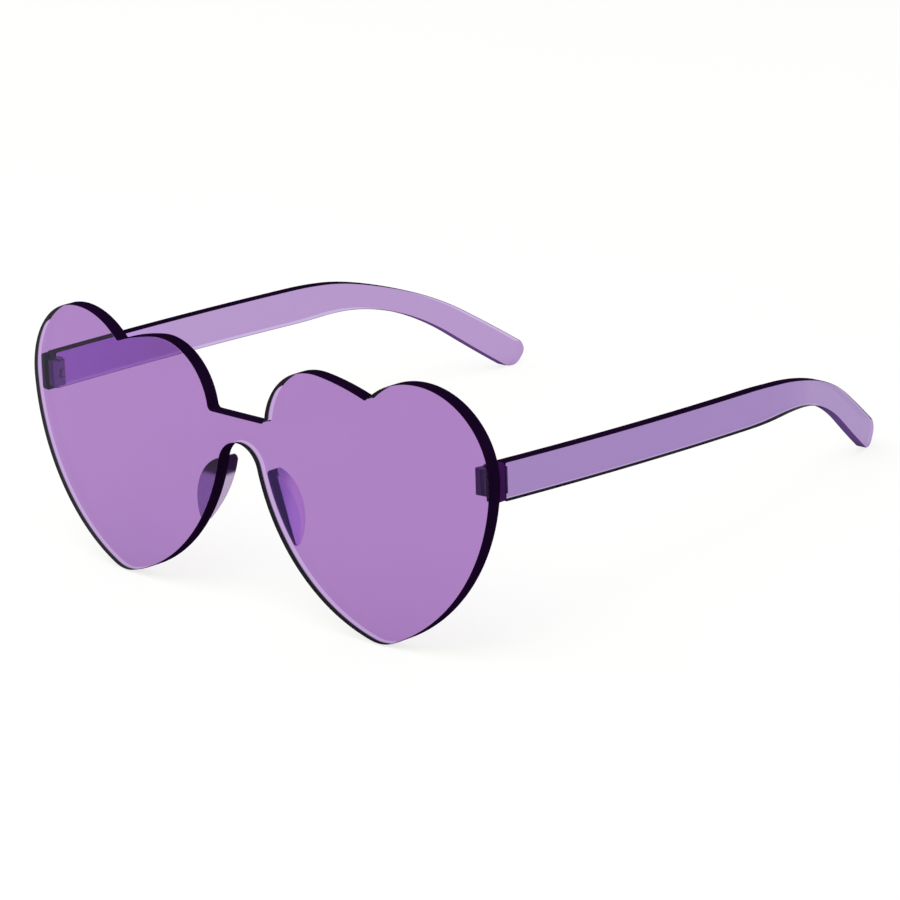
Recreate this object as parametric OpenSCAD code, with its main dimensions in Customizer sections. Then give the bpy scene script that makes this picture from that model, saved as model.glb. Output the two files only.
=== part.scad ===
// Heart shaped one-piece sunglasses: a curved lens plate with two hearts,
// stuck-on nose pads, end pieces, metal three-knuckle hinges and flat temples.
// The pieces are drawn as worn (X to the wearer's left, Y to the rear, Z up,
// Z = 0 at the heart tips) and then laid down on the four points they rest on.

/* [Front] */
// Width of one heart
heart_w = 63.3; // [54:0.5:72]
// Height of one heart, tip to outer lobe
heart_h = 59.5; // [52:0.5:68]
// Gap between the two hearts at the bridge
heart_gap = 17.4; // [14:0.5:22]
// Radius to which the plate is bent around the face
bend_r = 610; // [300:10:1200]
// Thickness of the lens plate
plate_t = 3.4; // [2.5:0.1:5]

/* [Bridge] */
// Distance from the top of the outer lobe down to the top of the bridge
bridge_drop = 15.9; // [12:0.5:20]
// Height of the bridge in the middle
bridge_h = 6.1; // [5:0.1:9]
// Narrowest gap between the inner flanks, as if they ran on up
nose_gap_w = 9.5; // [8:0.5:14]
// Radius of the corner between bridge and inner lobe
bridge_corner_r = 1.1; // [0.8:0.1:2.4]

/* [Nose pads] */
// Length of a pad along the flank
pad_l = 19; // [14:0.5:22]
// Width of a pad across the plate
pad_w = 6.2; // [4:0.2:7]
// Height of a pad off the plate at its crown
pad_h = 3; // [2:0.1:4.5]
// Radius of the pad's crowned face
pad_crown_r = 50; // [42:1:80]
// Angle of the pad's middle below the level of the flank's middle, in degrees
pad_turn = 26.5; // [20:0.5:30]

/* [Hinges] */
// Distance from the outer lobe's middle down to the middle of the hinge
hinge_drop = 0.4; // [0:0.2:4]
// Height of the three knuckles together
hinge_h = 5.9; // [5:0.1:7]
// Outer diameter of a knuckle
knuckle_d = 2.4; // [2:0.1:3]
// Diameter of the screw's shank
screw_d = 1.2; // [0.9:0.1:1.4]
// Diameter of the screw's head
screw_head_d = 2; // [1.7:0.1:2.3]
// Height of the screw's head
screw_head_h = 0.5; // [0.3:0.1:0.9]
// Reach of the front leaf from the pivot towards the nose
leaf_w = 1.4; // [1:0.1:4]
// Thickness of the front leaf
leaf_t = 0.8; // [0.6:0.1:1.2]
// Depth to which the rear knuckle's tang is let into the temple's inner face
tang_in = 1.6; // [1:0.1:2]
// Length of the tang behind the joint
tang_l = 1.6; // [1:0.1:4]

/* [End pieces] */
// Height of an end piece
end_h = 8.4; // [7.5:0.1:10]
// Length of an end piece from the plate to the joint
end_l = 1.8; // [1.6:0.1:4]
// Distance from the plate's edge in to the end piece and temple
end_inset = 0.4; // [0.2:0.1:1]
// Radius of the end piece's corners
end_corner_r = 0.7; // [0.3:0.1:1.2]

/* [Temples] */
// Length of a temple along its middle line
temple_l = 144.5; // [130:0.5:160]
// Thickness of a temple
temple_t = 2.8; // [2.2:0.1:3.4]
// Height of a temple at the hinge
temple_h = 8.6; // [7.5:0.1:10]
// Height of a temple at its neck, where it bends behind the ear
neck_h = 5.8; // [5:0.1:8]
// Height of a temple near its tip
tip_h = 7.2; // [6.4:0.1:10]
// Radius of the tip's two corners
tip_corner_r = 3; // [1.6:0.1:3.2]
// Angle at which a temple leaves the hinge outwards, in degrees
splay = 4.5; // [0:0.5:6]
// Angle at which a temple leaves the hinge downwards, in degrees
tilt = 1.2; // [0:0.2:4]
// Length that runs straight before the ear bend, seen from the side
level_l = 86.5; // [70:0.5:95]
// Radius of the ear bend
drop_r = 64; // [40:1:90]
// Angle through which the ear bend turns down, in degrees
drop_angle = 34; // [20:1:42]
// Length of the gently bowed front stretch, seen from above
bow_l = 82; // [65:0.5:95]
// Radius of that bow
bow_r = 735; // [400:5:2000]
// Radius of the turn towards the head behind the bow
wrap_r = 67; // [30:1:90]
// Angle through which the temple turns towards the head, in degrees
wrap_angle = 16.5; // [8:0.5:26]

/* [Hidden] */

// Overrun of every cut and crossing solid
over = 1;
// Gap between end piece and temple, and between knuckle and temple
joint_gap = 0.12;
// Gap between neighbouring knuckles
knuckle_gap = 0.08;
// Radial clearance of the screw in the knuckles
bore_clear = 0.05;
// Radius of the small round in the notch of a heart
notch_r = 0.6;
// Where the temples begin to slim, as a share of their level length
taper_share = 0.88;
// Sides of a temple's outline between that place and the tip
side_steps = 36;
// Sides of each of the two curves of a temple seen from above
plan_steps = 10;
// Width and depth of the screw's slot
slot_w = 0.3;
slot_d = 0.25;
// Distance from the plate's flank edge in to a nose pad
pad_inset = 0.3;
// Radius of a nose pad's two ends
pad_end_r = 1;
// Place of the pad's highest point between its middle (0) and its upper end (1)
pad_peak_share = 0.67;
// Length of one side of a drawn arc, in degrees
arc_step = 3;
// Sides of the plate's back where another piece is seated on it
back_steps = 10;
bend_fn = 720;
round_fn = 48;
crown_fn = 180;

// Radii of the heart's arcs as shares of its width
inner_lobe_share = 0.2395;
outer_lobe_share = 0.2981;
outer_brow_share = 0.3183;
inner_flank_share = 0.7009;
outer_flank_share = 0.7038;
tip_round_share = 0.1548;
// Place of the notch in from the inner lobe's side and below the outer lobe's top, as shares of the width
notch_share = [0.509, 0.0618];
// Place of the tip in from the inner lobe's side, as a share of the width
tip_share = 0.5038;
// Drop of the inner lobe's top below the outer one's, as a share of the width
inner_drop_share = 0.0335;

// Radii and middles of the outline's arcs in the right half, middles as [x, z]
inner_lobe_r = inner_lobe_share * heart_w;
outer_lobe_r = outer_lobe_share * heart_w;
outer_brow_r = outer_brow_share * heart_w;
inner_flank_r = inner_flank_share * heart_w;
outer_flank_r = outer_flank_share * heart_w;
tip_r = tip_round_share * heart_w;
half_w = heart_gap / 2 + heart_w;
inner_lobe_c = [heart_gap / 2 + inner_lobe_r, heart_h - inner_drop_share * heart_w - inner_lobe_r];
outer_lobe_c = [half_w - outer_lobe_r, heart_h - outer_lobe_r];
notch_p = [heart_gap / 2 + notch_share[0] * heart_w, heart_h - notch_share[1] * heart_w];
tip_c = [heart_gap / 2 + tip_share * heart_w, tip_r];
flank_to_tip_r = inner_flank_r - tip_r;
flank_to_tip_x = nose_gap_w / 2 + inner_flank_r - tip_c[0];
inner_flank_c = tip_c + [flank_to_tip_x, sqrt(pow(flank_to_tip_r, 2) - pow(flank_to_tip_x, 2))];
outer_flank_c = meet(outer_lobe_c, outer_flank_r - outer_lobe_r, tip_c, outer_flank_r - tip_r, 1);
outer_brow_c = meet(outer_lobe_c, outer_brow_r - outer_lobe_r, notch_p, outer_brow_r, -1);

// Bridge: level top edge, round arch over the nose that meets the inner flanks
bridge_top_z = heart_h - bridge_drop;
arch_top_z = bridge_top_z - bridge_h;
flank_over_arch = inner_flank_c[1] - arch_top_z;
arch_r = (pow(inner_flank_c[0], 2) + pow(flank_over_arch, 2) - pow(inner_flank_r, 2))
         / (2 * (inner_flank_r - flank_over_arch));
arch_c = [0, arch_top_z - arch_r];
bridge_corner_z = bridge_top_z + bridge_corner_r;
bridge_corner_c = [inner_lobe_c[0] - sqrt(pow(inner_lobe_r + bridge_corner_r, 2)
                                          - pow(bridge_corner_z - inner_lobe_c[1], 2)), bridge_corner_z];

// Straight brow: the tangent from the notch to the inner lobe, and the round in the notch
brow_to_lobe = inner_lobe_c - notch_p;
brow_heading = heading(brow_to_lobe) - asin(inner_lobe_r / norm(brow_to_lobe));
brow_dir = [cos(brow_heading), sin(brow_heading)];
brow_out = [brow_dir[1], -brow_dir[0]];
notch_from_arc = notch_p + notch_r * brow_out - outer_brow_c;
notch_shift = -notch_from_arc * brow_dir
              + sqrt(pow(notch_from_arc * brow_dir, 2) - notch_from_arc * notch_from_arc
                     + pow(outer_brow_r + notch_r, 2));
notch_c = notch_p + notch_r * brow_out + notch_shift * brow_dir;

// Places behind the plate
end_out_x = half_w - end_inset;
end_in_x = end_out_x - temple_t;
hinge_z = outer_lobe_c[1] - hinge_drop;
joint_y = plate_back(end_out_x) + end_l;
temple_y = joint_y + joint_gap;
pivot = [end_in_x - joint_gap - knuckle_d / 2, joint_y];
knuckle_h = (hinge_h - 2 * knuckle_gap) / 3;
leaf_in_x = pivot[0] - leaf_w;
leaf_back_y = plate_back(end_in_x) + leaf_t;
temple_mid_x = (end_in_x + end_out_x) / 2;

// Nose pad: its nose edge follows the flank, its lens edge is a rounder arc, and both ends are rounded
pad_edge_r = inner_flank_r - pad_inset;
pad_in_r = pad_edge_r - pad_w;
pad_half_a = asin(pad_l / (2 * pad_edge_r));
pad_out = [cos(180 + pad_turn), sin(180 + pad_turn)];
pad_bulge_at = (pow(pad_edge_r, 2) - pow(pad_in_r, 2)) / (2 * (pad_edge_r * cos(pad_half_a) - pad_in_r));
pad_bulge_r = pad_bulge_at - pad_in_r;
pad_bulge_c = inner_flank_c + pad_bulge_at * pad_out;
pad_peak_a = 180 + pad_turn - pad_peak_share * pad_half_a;
pad_peak = inner_flank_c + pad_edge_r * [cos(pad_peak_a), sin(pad_peak_a)];

// Lengths and stations along a temple's middle line
drop_l = drop_r * drop_angle * PI / 180;
wrap_l = wrap_r * wrap_angle * PI / 180;
taper_at = taper_share * level_l;
neck_at = level_l + drop_l / 2;
tip_round_at = temple_l - tip_corner_r;
tip_full_at = tip_round_at - tip_corner_r;

// Pitch at which the part stands on its heart tips and on the lower corners of its temple tips
tip_foot = [temple_y, hinge_z] + side_mid(tip_round_at)
           - (tip_h / 2 - tip_corner_r) * side_up(tip_round_at);
heart_foot_y = plate_back(tip_c[0]);
foot_line = tip_foot - [heart_foot_y, 0];
rest_pitch = heading(foot_line) - asin(tip_corner_r / norm(foot_line));
front_reach = min([for (p = half_outline()) rested_y([plate_front(p[0]), p[1]])]);
rear_reach = max([for (p = temple_side()) rested_y(p + [temple_y, hinge_z])]);
rest_y = -(front_reach + rear_reach) / 2;
rest_z = heart_foot_y * sin(rest_pitch);

// Distance to the rear of a worn place [y, z] once the part is laid down
function rested_y(p) = p[0] * cos(rest_pitch) + p[1] * sin(rest_pitch);

// Direction of a vector in degrees
function heading(v) = atan2(v[1], v[0]);

// The same direction as a, turned down by whole turns until it lies below the direction b
function below(a, b) = a > b ? below(a - 360, b) : a;

// Where two circles meet, on the right (1) or left (-1) of the way from the first to the second
function meet(c1, r1, c2, r2, side) =
    let (gap = norm(c2 - c1), along = (r1 * r1 - r2 * r2 + gap * gap) / (2 * gap),
         across = sqrt(r1 * r1 - along * along), dir = (c2 - c1) / gap)
    c1 + along * dir + side * across * [dir[1], -dir[0]];

// Points of an arc from direction a0 to a1; the first is left out where the last curve ends on it
function arc(c, r, a0, a1, skip = 1) =
    let (n = max(2, ceil(abs(a1 - a0) / arc_step)))
    [for (i = [skip:n]) c + r * [cos(a0 + (a1 - a0) * i / n), sin(a0 + (a1 - a0) * i / n)]];

// Y of the plate's front and back faces at a place x
function plate_front(x) = bend_r - sqrt(pow(bend_r, 2) - x * x);
function plate_back(x) = bend_r - sqrt(pow(bend_r - plate_t, 2) - x * x);

// Right half of the plate's outline, clockwise from the bridge's top to the arch's top
function half_outline() =
    let (corner_a = heading(inner_lobe_c - bridge_corner_c),
         brow_a = heading(brow_out),
         notch_a = heading(outer_brow_c - notch_c),
         lobe_a = heading(outer_lobe_c - outer_brow_c),
         flank_a = heading(outer_lobe_c - outer_flank_c),
         tip_a = heading(tip_c - outer_flank_c),
         inner_a = below(heading(tip_c - inner_flank_c), tip_a),
         arch_a = below(heading(arch_c - inner_flank_c), inner_a))
    concat([[0, bridge_top_z]],
           arc(bridge_corner_c, bridge_corner_r, -90, corner_a, 0),
           arc(inner_lobe_c, inner_lobe_r, 180 + corner_a, brow_a),
           arc(notch_c, notch_r, brow_a - 180, notch_a, 0),
           arc(outer_brow_c, outer_brow_r, 180 + notch_a, lobe_a),
           arc(outer_lobe_c, outer_lobe_r, lobe_a, flank_a),
           arc(outer_flank_c, outer_flank_r, flank_a, tip_a),
           arc(tip_c, tip_r, tip_a, inner_a),
           arc(inner_flank_c, inner_flank_r, inner_a, arch_a),
           arc(arch_c, arch_r, heading(inner_flank_c - arch_c), 90));

// Corners of a rounded rectangle about the origin
function round_rect(w, h, r) =
    [for (q = [0:3]) let (sx = (q == 0 || q == 3) ? 1 : -1, sy = q < 2 ? 1 : -1)
        each arc([sx * (w / 2 - r), sy * (h / 2 - r)], r, 90 * q, 90 * (q + 1), 0)];

// Middle line of a temple seen from the side, as [y, z] from its front end
function side_turn(s) = tilt + min(max(s - level_l, 0) / drop_l, 1) * drop_angle;
function side_mid(s) =
    let (a = side_turn(s), level = min(s, level_l), run = max(s - level_l - drop_l, 0))
    [level * cos(tilt) + drop_r * (sin(a) - sin(tilt)) + run * cos(a),
     -level * sin(tilt) - drop_r * (cos(tilt) - cos(a)) - run * sin(a)];

// Direction across the middle line, upright at the front end so that it stands square to the joint
function side_up(s) = let (a = side_turn(s)) s > 0 ? [sin(a), cos(a)] : [0, 1 / cos(a)];

// Half the height of a temple: full at the hinge, slim at the neck, full again with a round-cornered end
function blend(t) = (1 - cos(180 * min(max(t, 0), 1))) / 2;
function side_half(s) =
    let (to_neck = blend((s - taper_at) / (neck_at - taper_at)),
         to_tip = blend((s - neck_at) / (tip_full_at - neck_at)),
         past = max(s - tip_round_at, 0))
    (temple_h + (neck_h - temple_h) * to_neck + (tip_h - neck_h) * to_tip) / 2
    - tip_corner_r + sqrt(max(pow(tip_corner_r, 2) - past * past, 0));

// Outline of a temple seen from the side
function temple_side() =
    let (taper_step = (tip_round_at - taper_at) / side_steps,
         stations = concat([0], [for (i = [0:side_steps]) taper_at + i * taper_step],
                           [for (a = [10:10:90]) tip_round_at + tip_corner_r * sin(a)]),
         edges = [for (up = [1, -1]) [for (s = stations) side_mid(s) + up * side_half(s) * side_up(s)]])
    concat(edges[0], reverse(edges[1]));

// Middle line of a temple seen from above, as [x, y, heading] from its front end
function plan_mid(s) =
    let (bowed = splay - min(s, bow_l) / bow_r * 180 / PI,
         turned = bowed - min(max(s - bow_l, 0) / wrap_l, 1) * wrap_angle,
         run = max(s - bow_l - wrap_l, 0))
    [bow_r * (cos(bowed) - cos(splay)) + wrap_r * (cos(turned) - cos(bowed)) + run * sin(turned),
     bow_r * (sin(splay) - sin(bowed)) + wrap_r * (sin(bowed) - sin(turned)) + run * cos(turned), turned];

// Outline of a temple seen from above, longer than the temple at both ends
function temple_band() =
    let (stations = concat([-over], [for (i = [0:plan_steps]) bow_l * i / plan_steps],
                           [for (i = [1:plan_steps]) bow_l + wrap_l * i / plan_steps], [2 * temple_l]),
         edges = [for (out = [1, -1]) [for (s = stations) let (m = plan_mid(s))
                      [m[0], m[1]] + out * temple_t / 2 * [cos(m[2]), -sin(m[2])]]])
    concat(edges[0], reverse(edges[1]));
function reverse(list) = [for (i = [len(list) - 1:-1:0]) list[i]];

// Outline, seen from above, of the space between the plate's back at x0 to x1 and the place y1 behind it
function back_band(x0, x1, y1) =
    concat([for (i = [0:back_steps]) let (x = x0 + (x1 - x0) * i / back_steps) [x, plate_back(x)]],
           [[x1, y1], [x0, y1]]);

// Outline of a nose pad, down its nose edge and back up its lens edge
function pad_outline() =
    let (low_c = meet(inner_flank_c, pad_edge_r - pad_end_r, pad_bulge_c, pad_bulge_r - pad_end_r, -1),
         high_c = meet(inner_flank_c, pad_edge_r - pad_end_r, pad_bulge_c, pad_bulge_r - pad_end_r, 1),
         low_a = heading(low_c - inner_flank_c),
         high_a = heading(high_c - inner_flank_c),
         low_bulge_a = heading(low_c - pad_bulge_c),
         high_bulge_a = heading(high_c - pad_bulge_c))
    concat(arc(inner_flank_c, pad_edge_r, high_a, low_a),
           arc(low_c, pad_end_r, low_a, low_bulge_a),
           arc(pad_bulge_c, pad_bulge_r, low_bulge_a, high_bulge_a),
           arc(high_c, pad_end_r, high_bulge_a, 360 + high_a));

// Lays a worn part down on its four resting points, centred on the origin
module rested() {
    translate([0, rest_y, rest_z]) rotate([-rest_pitch, 0, 0]) children();
}

// A piece of the wearer's left side as drawn, and its mirror image on the right
module left_side() {
    rested() children();
}
module right_side() {
    rested() mirror([1, 0, 0]) children();
}

// A drawing in the X-Z plane, made solid from y0 to y1
module upright(y0, y1) {
    translate([0, y1, 0]) rotate([90, 0, 0]) linear_extrude(y1 - y0) children();
}

// Everything behind the plate's front face (t = 0) or its back face (t = plate_t)
module behind(t) {
    translate([0, bend_r, -over])
        cylinder(r = bend_r - t, h = heart_h + 2 * over, $fn = bend_fn);
}

// The space that the pieces between x0 and x1 have behind the plate
module seated(x0, x1) {
    linear_extrude(heart_h) polygon(back_band(x0 - over, x1 + over, joint_y + knuckle_d));
}

// A bar along the hinge's pivot, its middle z_mid above the middle of the hinge
module on_pivot(d, h, z_mid) {
    translate([pivot[0], pivot[1], hinge_z + z_mid - h / 2])
        cylinder(d = d, h = h, $fn = round_fn);
}

module screw_bore() {
    on_pivot(screw_d + 2 * bore_clear, hinge_h + 2 * over, 0);
}

// Tang of the rear knuckle: a plate as high as the hinge with a neck to the knuckle,
// longer to the front by extra where it cuts its own pocket
module tang(extra) {
    translate([end_in_x, temple_y - extra, hinge_z - hinge_h / 2])
        cube([tang_in, tang_l + extra, hinge_h]);
    translate([pivot[0], temple_y - extra, hinge_z - knuckle_h / 2])
        cube([end_in_x + tang_in - pivot[0], knuckle_d / 2 + extra, knuckle_h]);
}

module nose_pad() {
    outline = pad_outline();
    across = [for (p = outline) p[0]];
    color("MediumPurple", 0.6) intersection() {
        upright(0, plate_back(half_w) + pad_h) polygon(outline);
        seated(min(across), max(across));
        translate([pad_peak[0], plate_back(pad_peak[0]) + pad_h - pad_crown_r, pad_peak[1]])
            sphere(r = pad_crown_r, $fn = crown_fn);
    }
}

module end_piece() {
    color("MediumPurple", 0.6) intersection() {
        upright(0, joint_y) translate([temple_mid_x, hinge_z])
            polygon(round_rect(temple_t, end_h, end_corner_r));
        seated(end_in_x, end_out_x);
    }
}

module hinge_leaf() {
    knuckle_z = knuckle_h + knuckle_gap;
    color("Silver") difference() {
        intersection() {
            union() {
                translate([leaf_in_x, 0, hinge_z - hinge_h / 2])
                    cube([end_in_x - leaf_in_x, leaf_back_y, hinge_h]);
                for (z = [-knuckle_z, knuckle_z]) {
                    on_pivot(knuckle_d, knuckle_h, z);
                    translate([pivot[0] - knuckle_d / 2, 0, hinge_z + z - knuckle_h / 2])
                        cube([knuckle_d, joint_y, knuckle_h]);
                }
            }
            seated(leaf_in_x, end_in_x);
        }
        on_pivot(knuckle_d + 2 * knuckle_gap, knuckle_h + 2 * knuckle_gap, 0);
        screw_bore();
    }
}

module hinge_screw() {
    head_r = screw_head_d / 2;
    color("Silver") union() {
        on_pivot(screw_d, hinge_h, 0);
        translate([pivot[0], pivot[1], hinge_z + hinge_h / 2]) difference() {
            rotate_extrude($fn = round_fn)
                polygon([[0, 0], [head_r, 0], [head_r, screw_head_h - slot_d],
                         [head_r - slot_d, screw_head_h], [0, screw_head_h]]);
            translate([-head_r, -slot_w / 2, screw_head_h - slot_d])
                cube([screw_head_d, slot_w, screw_head_h]);
        }
    }
}

module temple_knuckle() {
    color("Silver") difference() {
        union() {
            on_pivot(knuckle_d, knuckle_h, 0);
            tang(0);
        }
        screw_bore();
    }
}

module temple() {
    color("Plum", 0.8) difference() {
        intersection() {
            translate([temple_mid_x, temple_y, hinge_z])
                linear_extrude(2 * temple_l, center = true) polygon(temple_band());
            translate([0, temple_y, hinge_z]) rotate([90, 0, 90])
                linear_extrude(2 * half_w) polygon(temple_side());
        }
        tang(over);
    }
}

module lens_plate() {
    half = half_outline();
    color("MediumPurple", 0.6) rested() difference() {
        intersection() {
            upright(-over, plate_back(half_w) + over)
                polygon(concat(half, [for (i = [len(half) - 2:-1:1]) [-half[i][0], half[i][1]]]));
            behind(0);
        }
        behind(plate_t);
    }
}

module nose_pad_left() { left_side() nose_pad(); }
module nose_pad_right() { right_side() nose_pad(); }
module end_piece_left() { left_side() end_piece(); }
module end_piece_right() { right_side() end_piece(); }
module hinge_leaf_left() { left_side() hinge_leaf(); }
module hinge_leaf_right() { right_side() hinge_leaf(); }
module hinge_screw_left() { left_side() hinge_screw(); }
module hinge_screw_right() { right_side() hinge_screw(); }
module temple_knuckle_left() { left_side() temple_knuckle(); }
module temple_knuckle_right() { right_side() temple_knuckle(); }
module temple_left() { left_side() temple(); }
module temple_right() { right_side() temple(); }

lens_plate();
nose_pad_left();
nose_pad_right();
end_piece_left();
end_piece_right();
hinge_leaf_left();
hinge_leaf_right();
hinge_screw_left();
hinge_screw_right();
temple_knuckle_left();
temple_knuckle_right();
temple_left();
temple_right();
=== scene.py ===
"""Heart shaped sunglasses: smooth sheets, hinges, finishes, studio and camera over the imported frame."""

import logging
import math
from dataclasses import dataclass
from enum import Enum, IntEnum
from functools import partial

import bmesh
import bpy
from mathutils import Matrix, Vector


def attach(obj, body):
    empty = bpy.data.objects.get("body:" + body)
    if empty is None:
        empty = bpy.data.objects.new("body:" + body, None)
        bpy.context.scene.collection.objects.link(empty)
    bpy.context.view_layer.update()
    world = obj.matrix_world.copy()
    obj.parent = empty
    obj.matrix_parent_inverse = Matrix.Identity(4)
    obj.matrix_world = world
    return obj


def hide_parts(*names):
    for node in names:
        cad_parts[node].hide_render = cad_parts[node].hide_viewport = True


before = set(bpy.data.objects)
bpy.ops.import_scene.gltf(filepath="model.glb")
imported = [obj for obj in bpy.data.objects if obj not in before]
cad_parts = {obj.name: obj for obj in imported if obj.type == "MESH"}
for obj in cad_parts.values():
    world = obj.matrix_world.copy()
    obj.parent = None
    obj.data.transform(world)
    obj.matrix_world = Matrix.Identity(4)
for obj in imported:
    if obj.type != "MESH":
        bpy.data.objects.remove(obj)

LOG = logging.getLogger("sunglasses")
MM = 0.001
QUARTER = 90.0
HALF_TURN = 180.0
WHOLE_TURN = 360.0
ARC_PARTS = 4
SAME_POINT = 1e-4
CUT_DIST = 1e-5
QUAD = 4
Point2 = tuple[float, float]
Point3 = tuple[float, float, float]
Edge = tuple[Point2, Point2]
Colour = tuple[float, float, float]
Span = tuple[float, float]
Socket = bpy.types.NodeSocket
Material = bpy.types.Material


class Side(Enum):
    """The wearer's left (+X) or right (-X)."""

    LEFT = 1
    RIGHT = -1

    @property
    def word(self) -> str:
        """The side's ending in node and piece names."""
        return self.name.lower()


class Axis(Enum):
    """An axis of the frame, by the name of its socket."""

    X = "X"
    Y = "Y"
    Z = "Z"


class Mark(IntEnum):
    """What a face of a cut sheet belongs to."""

    FACE = 0
    WALL = 1
    END = 2


class PadPart(IntEnum):
    """What a face of a nose pad belongs to, as the place of its colour, which carries painted light and
    shade.
    """

    CROWN = 0
    NOSE_WALL = 1
    FOOT = 2


@dataclass(frozen=True)
class Rest:
    """How the worn glasses, drawn upright in millimetres, lie on the floor."""

    pitch_deg: float = 5.4578
    shift_y: float = -75.4431
    shift_z: float = 0.452696

    def matrix(self) -> Matrix:
        """The move from worn millimetres to the frame's metres."""
        turn = Matrix.Rotation(math.radians(-self.pitch_deg), 4, "X")
        return Matrix.Scale(MM, 4) @ Matrix.Translation((0, self.shift_y, self.shift_z)) @ turn


@dataclass(frozen=True)
class Arc:
    """An arc of an outline, from angle a0 to a1 in degrees. Running down in angle it bulges outwards."""

    centre: Vector
    radius: float
    a0: float
    a1: float

    def edges(self, step: float) -> list[Edge]:
        """Points along the arc with their outward directions.

        Args:
            step: Longest distance between two points, in millimetres.

        Returns:
            Pairs of a point and its outward direction.
        """
        count = max(ARC_PARTS, math.ceil(abs(math.radians(self.a1 - self.a0)) * self.radius / step))
        out = 1.0 if self.a1 < self.a0 else -1.0
        result = []
        for i in range(count + 1):
            a = math.radians(self.a0 + (self.a1 - self.a0) * i / count)
            way = (math.cos(a), math.sin(a))
            point = (self.centre[0] + self.radius * way[0], self.centre[1] + self.radius * way[1])
            result.append((point, (out * way[0], out * way[1])))
        return result


def heading(v: Vector) -> float:
    """Direction of a plane vector in degrees."""
    return math.degrees(math.atan2(v[1], v[0]))


def below(a: float, b: float) -> float:
    """Turns a direction down by whole turns.

    Args:
        a: The direction in degrees.
        b: The direction that it ends below.

    Returns:
        The same direction, not above b.
    """
    while a > b:
        a -= WHOLE_TURN
    return a


def eased(t: float) -> float:
    """From 0 to 1 along half a cosine wave, level at both ends."""
    return (1 - math.cos(math.pi * min(max(t, 0), 1))) / 2


def meet(c1: Vector, r1: float, c2: Vector, r2: float, side: int) -> Vector:
    """Where two circles meet.

    Args:
        c1: Middle of the first circle.
        r1: Its radius.
        c2: Middle of the second circle.
        r2: Its radius.
        side: 1 for the right of the way from the first to the second, -1 for the left.

    Returns:
        The meeting point.
    """
    gap = (c2 - c1).length
    along = (r1 * r1 - r2 * r2 + gap * gap) / (2 * gap)
    across = math.sqrt(r1 * r1 - along * along)
    way = (c2 - c1) / gap
    return c1 + along * way + side * across * Vector((way.y, -way.x))


def joined(parts: list[list[Edge]], step: float) -> list[Edge]:
    """Joins stretches of an outline, dropping doubled points and dividing the straights between them.

    Args:
        parts: The stretches in order.
        step: Longest part of a straight, in millimetres.

    Returns:
        One run of points and outward directions.
    """
    result: list[Edge] = []
    for part in parts:
        for point, out in part:
            if result:
                (x, z), last = result[-1]
                length = math.dist((x, z), point)
                if length < SAME_POINT:
                    continue
                count = math.ceil(length / step)
                for i in range(1, count):
                    t = i / count
                    result.append(((x + (point[0] - x) * t, z + (point[1] - z) * t), last))
            result.append((point, out))
    return result


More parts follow.
